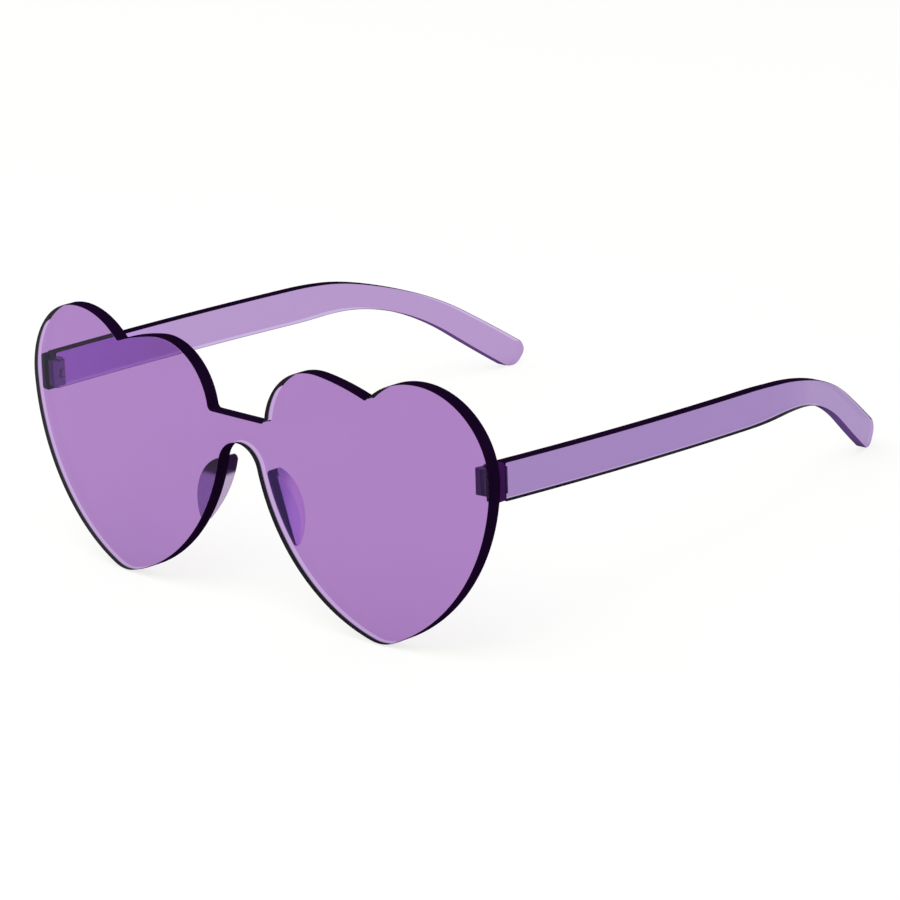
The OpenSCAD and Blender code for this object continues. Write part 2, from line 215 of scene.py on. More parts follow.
@dataclass(frozen=True)
class HeartOutline:
    """The outline of the lens plate as worn, from the sizes of the part's source.

    Only the notch departs from the source: it lies deeper, and a gentle arc leads to it from the inner lobe.
    """

    heart_w: float = 63.3
    heart_h: float = 59.5
    heart_gap: float = 17.4
    bridge_drop: float = 15.9
    bridge_h: float = 6.1
    nose_gap_w: float = 9.5
    corner_r: float = 1.1
    notch_r: float = 0.6
    notch_x: float = 30.4
    notch_z: float = 54.0
    inner_brow_r: float = 60.0
    inner_lobe_r: float = 0.2395 * heart_w
    outer_lobe_r: float = 0.2981 * heart_w
    outer_brow_r: float = 0.3183 * heart_w
    inner_flank_r: float = 0.7009 * heart_w
    outer_flank_r: float = 0.7038 * heart_w
    tip_r: float = 0.1548 * heart_w
    tip_x: float = 0.5038 * heart_w
    inner_drop: float = 0.0335 * heart_w
    step: float = 0.9
    corner_step: float = 0.3
    notch_step: float = 0.2
    arch_step: float = 0.5
    straight_step: float = 1.5

    def edges(self) -> list[Edge]:
        """The whole outline, clockwise seen from the front.

        Returns:
            Closed run of points and outward directions, in worn millimetres.
        """
        start = self.heart_gap / 2
        inner = Vector((start + self.inner_lobe_r, self.heart_h - self.inner_drop - self.inner_lobe_r))
        outer = Vector((start + self.heart_w - self.outer_lobe_r, self.heart_h - self.outer_lobe_r))
        notch = Vector((start + self.notch_x, self.notch_z))
        tip = Vector((start + self.tip_x, self.tip_r))
        reach = self.inner_flank_r - self.tip_r
        over = self.nose_gap_w / 2 + self.inner_flank_r - tip.x
        flank = tip + Vector((over, math.sqrt(reach**2 - over**2)))
        side = meet(outer, self.outer_flank_r - self.outer_lobe_r, tip, self.outer_flank_r - self.tip_r, 1)
        brow = meet(outer, self.outer_brow_r - self.outer_lobe_r, notch, self.outer_brow_r, -1)
        slope = meet(inner, self.inner_brow_r - self.inner_lobe_r, notch, self.inner_brow_r, 1)
        nick = meet(brow, self.outer_brow_r + self.notch_r, slope, self.inner_brow_r + self.notch_r, 1)
        top = self.heart_h - self.bridge_drop
        arch_top = top - self.bridge_h
        rise = flank.y - arch_top
        arch_r = (flank.x**2 + rise**2 - self.inner_flank_r**2) / (2 * (self.inner_flank_r - rise))
        arch = Vector((0, arch_top - arch_r))
        corner_z = top + self.corner_r
        corner_x = inner.x - math.sqrt((self.inner_lobe_r + self.corner_r) ** 2 - (corner_z - inner.y) ** 2)
        corner = Vector((corner_x, corner_z))
        to_inner = heading(inner - corner)
        to_slope = heading(inner - slope)
        to_notch = heading(nick - slope)
        to_brow = heading(brow - nick)
        to_outer = heading(outer - brow)
        to_side = heading(outer - side)
        to_tip = heading(tip - side)
        to_flank = below(heading(tip - flank), to_tip)
        to_arch = below(heading(arch - flank), to_flank)
        half = joined(
            [
                [((0.0, top), (0.0, 1.0))],
                Arc(corner, self.corner_r, -QUARTER, to_inner).edges(self.corner_step),
                Arc(inner, self.inner_lobe_r, HALF_TURN + to_inner, to_slope).edges(self.step),
                Arc(slope, self.inner_brow_r, to_slope, to_notch).edges(self.step),
                Arc(nick, self.notch_r, to_notch - HALF_TURN, to_brow).edges(self.notch_step),
                Arc(brow, self.outer_brow_r, HALF_TURN + to_brow, to_outer).edges(self.step),
                Arc(outer, self.outer_lobe_r, to_outer, to_side).edges(self.step),
                Arc(side, self.outer_flank_r, to_side, to_tip).edges(self.step),
                Arc(tip, self.tip_r, to_tip, to_flank).edges(self.step),
                Arc(flank, self.inner_flank_r, to_flank, to_arch).edges(self.step),
                Arc(arch, arch_r, heading(flank - arch), QUARTER).edges(self.arch_step),
            ],
            self.straight_step,
        )
        mirrored = [((-p[0], p[1]), (-n[0], n[1])) for p, n in reversed(half[1:-1])]
        return half + mirrored


@dataclass(frozen=True)
class TempleOutline:
    """The side outline of a temple, as [distance from the joint, height], from the part's sizes."""

    length: float = 144.5
    hinge_h: float = 8.6
    neck_h: float = 5.8
    tip_h: float = 7.2
    corner_r: float = 3.0
    tilt_deg: float = 1.2
    level: float = 86.5
    drop_r: float = 64.0
    drop_deg: float = 34.0
    taper_share: float = 0.88
    end_r: float = 0.45
    step: float = 1.2
    straight_step: float = 2.0
    corner_parts: int = 10
    probe: float = 0.05

    @property
    def tip_way(self) -> Point2:
        """Direction of the middle line at the tip."""
        a = math.radians(self.tilt_deg + self.drop_deg)
        return (math.cos(a), -math.sin(a))

    def middle(self, s: float) -> tuple[Vector, float]:
        """A place on the middle line.

        Args:
            s: Length along the line.

        Returns:
            The point, and the line's angle there below level.
        """
        drop, tilt = math.radians(self.drop_deg), math.radians(self.tilt_deg)
        a = tilt + min(max(s - self.level, 0) / (self.drop_r * drop), 1) * drop
        level, run = min(s, self.level), max(s - self.level - self.drop_r * drop, 0)
        y = level * math.cos(tilt) + self.drop_r * (math.sin(a) - math.sin(tilt)) + run * math.cos(a)
        z = -level * math.sin(tilt) - self.drop_r * (math.cos(tilt) - math.cos(a)) - run * math.sin(a)
        return Vector((y, z)), a

    def half_height(self, s: float) -> float:
        """Half the strip's height, before the tip's corners.

        Args:
            s: Length along the middle line.

        Returns:
            Half the height there.
        """
        start = self.taper_share * self.level
        neck = self.level + self.drop_r * math.radians(self.drop_deg) / 2
        full = self.length - 2 * self.corner_r
        slim = eased((s - start) / (neck - start))
        grow = eased((s - neck) / (full - neck))
        return (self.hinge_h + (self.neck_h - self.hinge_h) * slim + (self.tip_h - self.neck_h) * grow) / 2

    def rim(self, s: float, side: int) -> Vector:
        """The point of the top (1) or bottom (-1) edge at a length s."""
        mid, a = self.middle(s)
        return mid + side * self.half_height(s) * Vector((math.sin(a), math.cos(a)))

    def edge(self, s: float, side: int) -> Edge:
        """The point of the top (1) or bottom (-1) edge at a length s, and its outward direction."""
        along = (self.rim(s + self.probe, side) - self.rim(s - self.probe, side)).normalized()
        return tuple(self.rim(s, side)), (-side * along.y, side * along.x)

    def corner(self, at_end: bool, side: int, angle: float) -> Edge:
        """A point on a rounded corner at the tip or at the joint.

        Args:
            at_end: True at the tip.
            side: 1 for the top, -1 for the bottom.
            angle: Degrees from the edge's direction (0) to the end's (90).

        Returns:
            The point and its outward direction.
        """
        r = self.corner_r if at_end else self.end_r
        mid, a = self.middle(self.length - r if at_end else r)
        if not at_end:
            a = 0.0
        along, up = Vector((math.cos(a), -math.sin(a))), side * Vector((math.sin(a), math.cos(a)))
        lean = math.radians(angle)
        out = (math.sin(lean) * along * (1 if at_end else -1)) + math.cos(lean) * up
        half = self.half_height(self.length if at_end else 0)
        point = mid + (half - r) * up + r * out
        return tuple(point), tuple(out)

    def edges(self) -> list[Edge]:
        """The whole outline, clockwise seen from the wearer's left.

        Returns:
            Closed run of points and outward directions.
        """
        count = int((self.length - self.corner_r) / self.step)
        stations = [self.end_r + self.step * i for i in range(1, count)]
        turns = [QUARTER * i / self.corner_parts for i in range(self.corner_parts + 1)]
        top = [self.corner(False, 1, QUARTER - t) for t in turns]
        top += [self.edge(s, 1) for s in stations]
        top += [self.corner(True, 1, t) for t in turns]
        low = [self.corner(True, -1, QUARTER - t) for t in turns]
        low += [self.edge(s, -1) for s in reversed(stations)]
        low += [self.corner(False, -1, t) for t in turns]
        return joined([top, low], self.straight_step)


class NodeKit:
    """Short ways to build a node tree."""

    def __init__(self, tree: bpy.types.NodeTree) -> None:
        """Starts on an emptied tree."""
        self.tree = tree
        tree.nodes.clear()

    @classmethod
    def group(cls, name: str, kind: str, inputs: dict[str, str], outputs: dict[str, str]) -> "NodeKit":
        """Starts a node group with named sockets.

        Args:
            name: Name of the group.
            kind: Blender's kind of tree.
            inputs: Labels of its inputs, each with its sort: Float, Geometry or Material.
            outputs: The same for its outputs.
        """
        tree = bpy.data.node_groups.new(name, kind)
        for way, sockets in (("INPUT", inputs), ("OUTPUT", outputs)):
            for label, sort in sockets.items():
                tree.interface.new_socket(label, in_out=way, socket_type=f"NodeSocket{sort}")
        return cls(tree)

    @classmethod
    def shader(cls, owner: Material | bpy.types.World) -> "NodeKit":
        """Starts the shader of a material or a world."""
        owner.use_nodes = True
        return cls(owner.node_tree)

    def feed(self, socket: Socket, value: object) -> None:
        """Links an input or sets its value.

        Args:
            socket: The input.
            value: The output that feeds it, or a plain value, where a colour gets an alpha of 1.
        """
        if isinstance(value, bpy.types.NodeSocket):
            self.tree.links.new(value, socket)
        elif socket.type == "RGBA":
            socket.default_value = (*value, 1.0)
        else:
            socket.default_value = value

    def add(self, kind: str, **values: object) -> bpy.types.Node:
        """Adds a node.

        Args:
            kind: Blender's kind of node.
            values: Its inputs by name, with _ for a space. A name that starts with _ is a property.

        Returns:
            The node.
        """
        node = self.tree.nodes.new(kind)
        inputs = {}
        for key, value in values.items():
            if key.startswith("_"):
                setattr(node, key[1:], value)
            else:
                inputs[key.replace("_", " ")] = value
        for label, value in inputs.items():
            self.feed(node.inputs[label], value)
        return node

    def fed(self, node: bpy.types.Node, *values: object) -> Socket:
        """Feeds a node's inputs in their order.

        Args:
            node: The node.
            values: The outputs or plain values that they take.

        Returns:
            The node's first output.
        """
        for socket, value in zip(node.inputs, values):
            self.feed(socket, value)
        return node.outputs[0]

    def math(self, operation: str, *values: object) -> Socket:
        """The result of a math node."""
        return self.fed(self.add("ShaderNodeMath", _operation=operation), *values)

    def shaders(self, share: Socket, first: Socket, second: Socket) -> Socket:
        """A shader that goes from the first to the second with the share."""
        return self.fed(self.add("ShaderNodeMixShader"), share, first, second)

    def spread(self, value: Socket, source: Span, target: Span, kind: str = "LINEAR") -> Socket:
        """Moves a value from one span to another, held at both ends."""
        return self.fed(self.add("ShaderNodeMapRange", _interpolation_type=kind), value, *source, *target)

    def colours(self, share: Socket, first: object, second: object) -> Socket:
        """A colour that goes from one to another.

        Args:
            share: How far it has gone, 0 to 1.
            first: The colour at 0.
            second: The colour at 1.

        Returns:
            The mixed colour.
        """
        node = self.add("ShaderNodeMix", _data_type="RGBA", Factor=share)
        shown = [socket for socket in node.inputs if socket.type == "RGBA"]
        for socket, colour in zip(shown, (first, second)):
            self.feed(socket, colour)
        return next(socket for socket in node.outputs if socket.type == "RGBA")


@dataclass(frozen=True)
class Bend:
    """A sheet's bend seen from above: a gentle bow from its splay, then a tighter turn, then straight."""

    bow_r: float
    bow_reach: float = 200.0
    turn_r: float = 50.0
    turn_deg: float = 0.0
    splay_deg: float = 0.0

    def heading_at(self, u: float) -> float:
        """How far the sheet has turned.

        Args:
            u: Distance from the sheet's middle or joint.

        Returns:
            Its angle there, away from the wearer.
        """
        start, reach = math.sin(math.radians(self.splay_deg)), abs(u)
        low = math.sin(math.asin(start - self.bow_reach / self.bow_r) - math.radians(self.turn_deg))
        bowed = start - min(reach, self.bow_reach) / self.bow_r
        return math.asin(max(bowed - max(reach - self.bow_reach, 0) / self.turn_r, low))

    def values(self) -> dict[str, float]:
        """The bend's values by the names of the tree's inputs."""
        return {
            "Splay": math.radians(self.splay_deg),
            "Bow radius": self.bow_r,
            "Bow reach": self.bow_reach,
            "Turn radius": self.turn_r,
            "Turn": math.radians(self.turn_deg),
        }

    @staticmethod
    def bent_y(kit: NodeKit, given: bpy.types.NodeOutputs, x: Socket, y: Socket) -> Socket:
        """Adds the nodes that work out how deep a point of the bent sheet lies.

        Args:
            kit: The tree's kit.
            given: The group's inputs.
            x: Place along the flat sheet.
            y: Depth within it.

        Returns:
            The point's Y after the bend.
        """
        calc = kit.math
        minus, over, times = (partial(calc, name) for name in ("SUBTRACT", "DIVIDE", "MULTIPLY"))
        splay, bow_r, bow_reach = given["Splay"], given["Bow radius"], given["Bow reach"]
        turn_r, start = given["Turn radius"], calc("SINE", splay)
        u = calc("ABSOLUTE", x)
        bow_end = calc("ARCSINE", minus(start, over(bow_reach, bow_r)))
        last = minus(bow_end, given["Turn"])
        bowed = minus(start, over(calc("MINIMUM", u, bow_reach), bow_r))
        past = over(calc("MAXIMUM", minus(u, bow_reach), 0.0), turn_r)
        turned = calc("MAXIMUM", minus(bowed, past), calc("SINE", last))
        bowed_cos = calc("SQRT", minus(1.0, times(bowed, bowed)))
        cosine = calc("SQRT", minus(1.0, times(turned, turned)))
        arc_len = times(turn_r, minus(calc("SINE", bow_end), calc("SINE", last)))
        rest = calc("MAXIMUM", minus(u, calc("ADD", bow_reach, arc_len)), 0.0)
        first = times(bow_r, minus(bowed_cos, calc("COSINE", splay)))
        second = times(turn_r, minus(cosine, bowed_cos))
        third = times(rest, calc("TANGENT", last))
        away = calc("ADD", calc("ADD", first, second), third)
        return minus(over(y, cosine), away)

    @staticmethod
    def tree() -> bpy.types.NodeTree:
        """The Geometry Nodes tree that bends a flat sheet along X and gives it its two finishes.

        Returns:
            The tree, made once.
        """
        name = "bend_sheet"
        if name in bpy.data.node_groups:
            return bpy.data.node_groups[name]
        inputs = {"Sheet": "Geometry"}
        inputs |= dict.fromkeys(("Splay", "Bow radius", "Bow reach", "Turn radius", "Turn"), "Float")
        inputs |= {"Face finish": "Material", "Edge finish": "Material"}
        kit = NodeKit.group(name, "GeometryNodeTree", inputs, {"Bent sheet": "Geometry"})
        given = kit.add("NodeGroupInput").outputs
        place = kit.add("GeometryNodeInputPosition").outputs[0]
        parts = kit.add("ShaderNodeSeparateXYZ", Vector=place).outputs
        depth = Bend.bent_y(kit, given, parts["X"], parts["Y"])
        merge = kit.add("ShaderNodeCombineXYZ", X=parts["X"], Y=depth, Z=parts["Z"])
        move = kit.add("GeometryNodeSetPosition", Geometry=given["Sheet"], Position=merge.outputs[0])
        real = kit.add("GeometryNodeRealizeInstances", Geometry=move.outputs[0])
        dress = kit.add("GeometryNodeSetMaterial", Geometry=real.outputs[0], Material=given["Face finish"])
        wall = kit.add("GeometryNodeInputNamedAttribute", _data_type="BOOLEAN", Name="cut_edge")
        trim = kit.add(
            "GeometryNodeSetMaterial",
            Geometry=dress.outputs[0],
            Selection=wall.outputs["Attribute"],
            Material=given["Edge finish"],
        )
        kit.add("NodeGroupOutput", Bent_sheet=trim.outputs[0])
        return kit.tree


@dataclass(frozen=True)
class CutSheet:
    """A sheet cut along an outline: flat faces, straight cut walls and small polished rounds between."""

    edges: list[Edge]
    thickness: float
    bend: Bend
    strip: float
    end_way: Point2 | None = None
    end_depth: float = 2.4
    dark_from: float = 1.0
    dark_range: float = 0.12
    round_r: float = 0.25
    round_steps: int = 4

    def share(self, depth: float, up: float) -> float:
        """Share of the sheet's depth, 0 at its outer face and where a wall faces up past dark_from; it places
        the pale see-through line, a painted highlight, on the painted-dark walls.
        """
        dark = min(max((up - self.dark_from) / self.dark_range, 0), 1)
        return (depth / self.thickness + 1 / 2) * (1 - dark)

    def wall_marks(self) -> list[Mark]:
        """Marks of the cut wall.

        Returns:
            For each point of the outline END within end_depth of the sheet's end, or WALL.
        """
        if self.end_way is None:
            return [Mark.WALL] * len(self.edges)
        way = Vector(self.end_way)
        reach = [way.dot(Vector(point)) for point, _ in self.edges]
        limit = max(reach) - self.end_depth
        return [Mark.END if far > limit else Mark.WALL for far in reach]

    def rows(self) -> list[tuple[float, float, float, float]]:
        """The rows of points over the rim, from the outer face to the inner one.

        Returns:
            For each row its inset, its depth, and how far its normal points outwards and to the rear.
        """
        half, r = self.thickness / 2, self.round_r
        front = []
        for i in range(self.round_steps + 1):
            a = math.radians(QUARTER * i / self.round_steps)
            front.append((r * (1 - math.sin(a)), -half + r * (1 - math.cos(a)), math.sin(a), -math.cos(a)))
        return front + [(inset, -depth, out, -rear) for inset, depth, out, rear in reversed(front)]

    def add_points(self, bm: bmesh.types.BMesh) -> list[list[bmesh.types.BMVert]]:
        """Adds the rows of points, each point with its normal and its share of the depth.

        Args:
            bm: The mesh that takes them.

        Returns:
            The points, row by row.
        """
        aim = bm.verts.layers.float_vector.new("flat_normal")
        share = bm.verts.layers.float.new("depth_share")
        rings = []
        for inset, depth, out, rear in self.rows():
            ring = []
            for (x, z), (nx, nz) in self.edges:
                vert = bm.verts.new((x - nx * inset, depth, z - nz * inset))
                vert[aim] = Vector((nx * out, rear, nz * out)).normalized()
                vert[share] = self.share(depth, nz)
                ring.append(vert)
            rings.append(ring)
        return rings

    def flat_mesh(self, name: str) -> bpy.types.Mesh:
        """The sheet before it is bent, cut into strips across X.

        Args:
            name: Name of the mesh.

        Returns:
            The mesh, in millimetres.
        """
        bm = bmesh.new()
        rings = self.add_points(bm)
        wall = bm.faces.layers.int.new("cut_edge")
        marks = self.wall_marks()
        count = len(self.edges)
        for k in range(len(rings) - 1):
            for i in range(count):
                j = (i + 1) % count
                face = bm.faces.new((rings[k][i], rings[k][j], rings[k + 1][j], rings[k + 1][i]))
                face[wall] = marks[i] if 1 <= k < len(rings) - 2 else Mark.FACE
        bm.faces.new(rings[0])
        bm.faces.new(list(reversed(rings[-1])))
        low = min(v.co.x for v in bm.verts)
        high = max(v.co.x for v in bm.verts)
        for i in range(math.ceil(low / self.strip), math.floor(high / self.strip) + 1):
            whole = bm.verts[:] + bm.edges[:] + bm.faces[:]
            place = (i * self.strip, 0, 0)
            bmesh.ops.bisect_plane(bm, geom=whole, dist=CUT_DIST, plane_co=place, plane_no=(1, 0, 0))
        bmesh.ops.recalc_face_normals(bm, faces=bm.faces[:])
        bmesh.ops.triangulate(bm, faces=[f for f in bm.faces if len(f.verts) > QUAD])
        mesh = bpy.data.meshes.new(name)
        bm.to_mesh(mesh)
        bm.free()
        return mesh

    def bent_mesh(self, name: str, face: Material, edge: Material) -> bpy.types.Mesh:
        """The sheet bent by the Geometry Nodes tree, still in its own millimetres.

        Args:
            name: Name of the piece.
            face: Finish of the two flat faces.
            edge: Finish of the cut walls.

        Returns:
            The bent mesh with both finishes.
        """
        flat = bpy.data.objects.new(name + "_flat", self.flat_mesh(name + "_flat"))
        bpy.context.collection.objects.link(flat)
        modifier = flat.modifiers.new("Bend", "NODES")
        modifier.node_group = Bend.tree()
        values = {**self.bend.values(), "Face finish": face, "Edge finish": edge}
        for item in modifier.node_group.interface.items_tree:
            if item.in_out == "INPUT" and item.name in values:
                modifier[item.identifier] = values[item.name]
        graph = bpy.context.evaluated_depsgraph_get()
        mesh = bpy.data.meshes.new_from_object(flat.evaluated_get(graph), depsgraph=graph)
        bpy.data.objects.remove(flat)
        mesh.name = name
        return mesh

    def bent_normals(self, mesh: bpy.types.Mesh, turn: Matrix) -> list[Vector]:
        """The exact normals of the bent sheet.

        Args:
            mesh: The bent sheet in its own millimetres.
            turn: Turn of the piece into the frame.

        Returns:
            One normal for each point, in the frame.
        """
        normals = []
        for vert, item in zip(mesh.vertices, mesh.attributes["flat_normal"].data):
            lean = self.bend.heading_at(vert.co.x)
            slope = -math.tan(lean) * (1 if vert.co.x >= 0 else -1)
            n = Vector(item.vector)
            depth = n.y * math.cos(lean)
            normals.append((turn @ Vector((n.x - slope * depth, depth, n.z))).normalized())
        return normals

    def build(
        self, name: str, place: Matrix, face: Material, edge: Material, end: Material | None = None
    ) -> bpy.types.Object:
        """Bends the flat sheet, puts it in place and gives it its exact smooth normals.

        Args:
            name: Name of the piece.
            place: Move from the sheet's millimetres to the frame.
            face: Finish of the two flat faces.
            edge: Finish of the cut walls.
            end: Finish of the walls at the sheet's end, where it has one.

        Returns:
            The finished piece, a plain mesh at the origin.
        """
        mesh = self.bent_mesh(name, face, edge)
        if end is not None:
            mesh.materials.append(end)
            for polygon, mark in zip(mesh.polygons, mesh.attributes["cut_edge"].data):
                if mark.value == Mark.END:
                    polygon.material_index = len(mesh.materials) - 1
        turn = place.to_3x3()
        normals = self.bent_normals(mesh, turn)
        mesh.transform(place)
        if turn.determinant() < 0:
            mesh.flip_normals()
        for attribute in ("flat_normal", "cut_edge"):
            mesh.attributes.remove(mesh.attributes[attribute])
        mesh.shade_smooth()
        mesh.normals_split_custom_set_from_vertices(normals)
        piece = bpy.data.objects.new(name, mesh)
        bpy.context.collection.objects.link(piece)
        return piece


@dataclass(frozen=True)
class HandlingMarks:
    """The marks of use that all finishes share: fine scratches and a patchy haze."""

    haze_detail: float = 5.0
    line_detail: float = 3.0
    stretch: Point3 = (1.0, 1.0, 14.0)
    turn: Point3 = (0.5, 0.35, 0.2)
    fineness: float = 6.0
    band: Span = (0.62, 0.7)

    def group(self) -> bpy.types.NodeTree:
        """Shader group that puts out the scratches as a height and the haze as a mask.

        Returns:
            The group, made once.
        """
        name = "handling_marks"
        if name in bpy.data.node_groups:
            return bpy.data.node_groups[name]
        inputs = dict.fromkeys(("Scale", "Scratches"), "Float")
        outputs = dict.fromkeys(("Height", "Haze"), "Float")
        kit = NodeKit.group(name, "ShaderNodeTree", inputs, outputs)
        given = kit.add("NodeGroupInput").outputs
        place = kit.add("ShaderNodeTexCoord").outputs["Object"]
        haze = kit.add("ShaderNodeTexNoise", Vector=place, Scale=given["Scale"], Detail=self.haze_detail)
        drawn = kit.add("ShaderNodeMapping", Vector=place, Scale=self.stretch, Rotation=self.turn)
        finer = kit.math("MULTIPLY", given["Scale"], self.fineness)
        lines = kit.add("ShaderNodeTexNoise", Vector=drawn.outputs[0], Scale=finer, Detail=self.line_detail)
        ridge = kit.spread(lines.outputs["Fac"], self.band, (0.0, 1.0))
        height = kit.math("MULTIPLY", ridge, given["Scratches"])
        kit.add("NodeGroupOutput", Height=height, Haze=haze.outputs["Fac"])
        return kit.tree


@dataclass(frozen=True)
class Finish:
    """A finish with handling marks; with the haze its base tone goes over to the deep one. On several
    finishes, marked where they are set, the base tone and shade colour are painted light and shade, not
    colours of the plastic.
    """

    name: str
    dye: Colour
    deep: Colour | None = None
    deep_share: float = 1.0
    metallic: float = 0.0
    clear: float = 0.0
    roughness: float = 0.3
    rough_shares: Span = (0.6, 1.4)
    ior: float = 1.45
    specular: float = 0.5
    grain: float = 60.0
    scratches: float = 0.2
    bump: float = 0.02
    bump_depth: float = 0.05 * MM
    shade: Colour = (0.02, 0.006, 0.035)
    shade_along: Axis = Axis.Z
    shade_at: Span | None = None
    # On a painted-dark wall, inside_clear with the pale inside_tint gives a painted highlight line seen from
    # inside.
    inside_clear: Span | None = None
    inside_tint: Colour = (0.85, 0.8, 0.95)

    def shaded(self, kit: NodeKit, dye: Socket) -> Socket:
        """Takes the base tone over to the shade colour between two places along an axis; on the temple walls
        and the pads this gradient is painted light and shade.

        Args:
            kit: The material's kit.
            dye: The base tone's colour.

        Returns:
            The colour, which is the base tone where no places are given.
        """
        if self.shade_at is None:
            return dye
        place = kit.add("ShaderNodeTexCoord").outputs["Object"]
        along = kit.add("ShaderNodeSeparateXYZ", Vector=place).outputs[self.shade_along.value]
        span = (self.shade_at[0] * MM, self.shade_at[1] * MM)
        return kit.colours(kit.spread(along, span, (0.0, 1.0), "SMOOTHSTEP"), dye, self.shade)

    def cleared(self, kit: NodeKit, shader: Socket) -> Socket:
        """Lets out of a cut wall what is seen from inside the sheet, past a share of its depth, through a
        tint; on the painted-dark walls the pale tint makes a painted highlight line along the polished rear
        edge.

        Args:
            kit: The material's kit.
            shader: The wall's shader.

        Returns:
            The shader, unchanged where the wall stays dark.
        """
        if self.inside_clear is None:
            return shader
        depth = kit.add("ShaderNodeAttribute", _attribute_name="depth_share").outputs["Fac"]
        past = kit.spread(depth, self.inside_clear, (0.0, 1.0), "SMOOTHSTEP")
        inside = kit.add("ShaderNodeNewGeometry").outputs["Backfacing"]
        clear = kit.add("ShaderNodeBsdfTransparent", Color=self.inside_tint)
        return kit.shaders(kit.math("MULTIPLY", inside, past), shader, clear.outputs[0])

    def material(self) -> Material:
        """Builds the material.

        Returns:
            The material.
        """
        made = bpy.data.materials.new(self.name)
        kit = NodeKit.shader(made)
        wear = {"Scale": self.grain, "Scratches": self.scratches}
        marks = kit.add("ShaderNodeGroup", _node_tree=HandlingMarks().group(), **wear).outputs
        deep = self.deep or tuple(self.deep_share * c for c in self.dye)
        rough = tuple(share * self.roughness for share in self.rough_shares)
        bump = kit.add("ShaderNodeBump", Height=marks["Height"], Strength=self.bump, Distance=self.bump_depth)
        surface = kit.add(
            "ShaderNodeBsdfPrincipled",
            Base_Color=self.shaded(kit, kit.colours(marks["Haze"], self.dye, deep)),
            Metallic=self.metallic,
            Roughness=kit.spread(marks["Haze"], (0.0, 1.0), rough),
            IOR=self.ior,
            Transmission_Weight=self.clear,
            Normal=bump.outputs["Normal"],
            Specular_IOR_Level=self.specular,
        )
        kit.add("ShaderNodeOutputMaterial", Surface=self.cleared(kit, surface.outputs[0]))
        return made


@dataclass(frozen=True)
class ClearSheet(Finish):
    """The clear sheet of the lenses and temples."""

    deep_share: float = 0.955
    clear: float = 1.0
    roughness: float = 0.02
    ior: float = 1.2


@dataclass(frozen=True)
class PadPlastic(Finish):
    """The clear plastic of the nose pads."""

    clear: float = 1.0
    roughness: float = 0.02
    ior: float = 1.06


@dataclass(frozen=True)
class SawnWall(Finish):
    """The sawn wall of a sheet, painted near-black: painted shade for the darkness that internal reflection
    gives the cut walls.
    """

    dye: Colour = (0.011, 0.003, 0.02)
    deep: Colour | None = (0.004, 0.001, 0.008)
    roughness: float = 0.4
    specular: float = 0.0


@dataclass(frozen=True)
class HingeMetal(Finish):
    """Tinted hinge metal with turning marks, brighter with the haze."""

    metallic: float = 1.0
    roughness: float = 0.45
    rough_shares: Span = (0.7, 1.3)
    ior: float = 1.5
    grain: float = 900.0
    scratches: float = 0.6
    bump: float = 0.2
    bump_depth: float = 0.02 * MM


class Finishes:
    """Makes each finish once, at its first use."""

    def __init__(self) -> None:
        """Starts with nothing made."""
        self.made: dict[str, Material] = {}

    def of(self, finish: Finish) -> Material:
        """Looks up the material of a finish.

        Args:
            finish: The finish.

        Returns:
            Its material.
        """
        if finish.name not in self.made:
            self.made[finish.name] = finish.material()
        return self.made[finish.name]


LENS_FACE = ClearSheet("lens_face", (0.42, 0.222, 0.555))
# Painted shade on the lens plate's cut walls; from inside, their rear part turns pale and see-through as a
# painted highlight.
LENS_WALL = SawnWall("lens_edge", inside_clear=(0.5, 0.7))
# One plastic on both temples: the darker left copy and the lighter right copy are painted shade and painted
# light for the different light on each. The right copy is also bluer towards its front, the part seen through
# the lens.
TEMPLE_FACE = {
    Side.LEFT: ClearSheet("temple_face_left", (0.36, 0.232, 0.52)),
    Side.RIGHT: ClearSheet(
        "temple_face_right",
        (0.5, 0.31, 0.74),
        shade=(0.46, 0.308, 0.59),
        shade_along=Axis.Y,
        shade_at=(-50.0, -15.0),
    ),
}
# The temple walls are painted shade too, easing to a dark purple from the bend back; per side, TEMPLE_CLEAR
# sets how much of each painted dark wall turns pale and see-through from inside.
TEMPLE_CLEAR = {Side.LEFT: (0.8, 1.0), Side.RIGHT: (0.85, 0.65)}
TEMPLE_WALL = {
    side: SawnWall(
        f"temple_edge_{side.word}",
        shade=(0.11, 0.055, 0.19),
        shade_along=Axis.Y,
        shade_at=(35.0, 55.0),
        inside_clear=TEMPLE_CLEAR[side],
    )
    for side in Side
}
# Painted light: the clear, polished tip end is painted an opaque pale lilac from outside; from inside it
# turns fully see-through with a tint like the face.
TEMPLE_END = Finish(
    "temple_end",
    (0.84, 0.71, 0.9),
    (0.8, 0.68, 0.87),
    specular=0.3,
    inside_clear=(-1.0, -0.5),
    inside_tint=(0.66, 0.54, 0.76),
)
